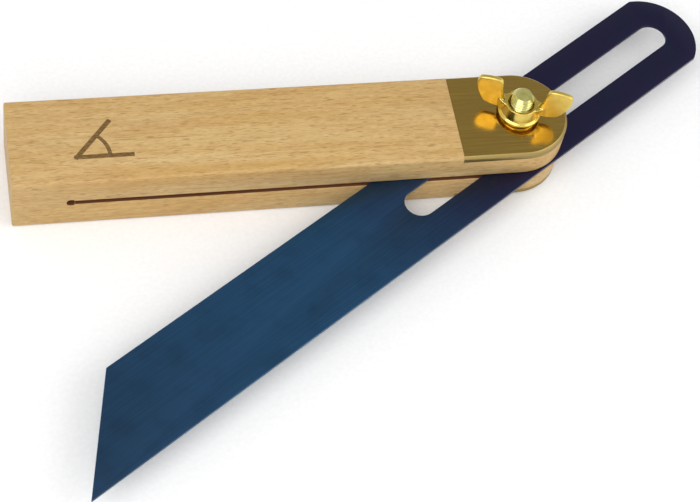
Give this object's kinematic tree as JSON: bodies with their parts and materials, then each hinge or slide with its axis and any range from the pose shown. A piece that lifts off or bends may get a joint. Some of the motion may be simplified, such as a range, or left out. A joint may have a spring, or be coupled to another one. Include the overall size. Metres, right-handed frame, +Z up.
{
  "type": "sliding bevel",
  "caption": "Carpenter's sliding bevel: slotted hardwood stock with brass wear plates, and a slotted blued steel blade that swings and slides on a pivot screw clamped by a wing nut.",
  "frame": {"origin": "centre of the flat underside of the stock", "axes": "+X along the stock towards its round nose and the pivot, +Z up from the underside towards the wing nut, +Y across the stock"},
  "size_m": [0.1944, 0.1411, 0.0304],
  "materials": {
    "beech": "satin, fine short flecks along the grain",
    "plate_brass": "brushed satin brass",
    "blued_steel": "deep blue, finely brushed lengthwise",
    "screw_steel": "pale yellow zinc plate",
    "nut_brass": "bright brass"
  },
  "bodies": {
    "stock": {"stock": "beech", "upper_wear_plate": "plate_brass", "lower_wear_plate": "plate_brass"},
    "screw": {"pivot_screw": "screw_steel"},
    "blade": {"blade": "blued_steel"},
    "washer": {"washer": "nut_brass"},
    "wing_nut": {"wing_nut": "nut_brass"}
  },
  "joints": [
    {"name": "blade_swing", "type": "hinge", "parent": "stock", "child": "screw", "pos_m": [0.0605, 0, 0.0093], "axis": [0, 0, 1], "range_deg": [-21, 312]},
    {"name": "blade_slide", "type": "slide", "parent": "screw", "child": "blade", "axis": [0.8339, 0.5519, 0], "range_m": [-0.056, 0.036]},
    {"name": "nut_lift", "type": "slide", "parent": "stock", "child": "washer", "axis": [0, 0, 1], "range_m": [0, 0.00175]},
    {"name": "nut_spin", "type": "hinge", "parent": "washer", "child": "wing_nut", "pos_m": [0.0605, 0, 0.0193], "axis": [0, 0, 1], "range_deg": [0, 630.1]}
  ],
  "couplings": [
    {"joint": "nut_spin", "follows": "nut_lift", "rad_per_m": 6283.2}
  ]
}
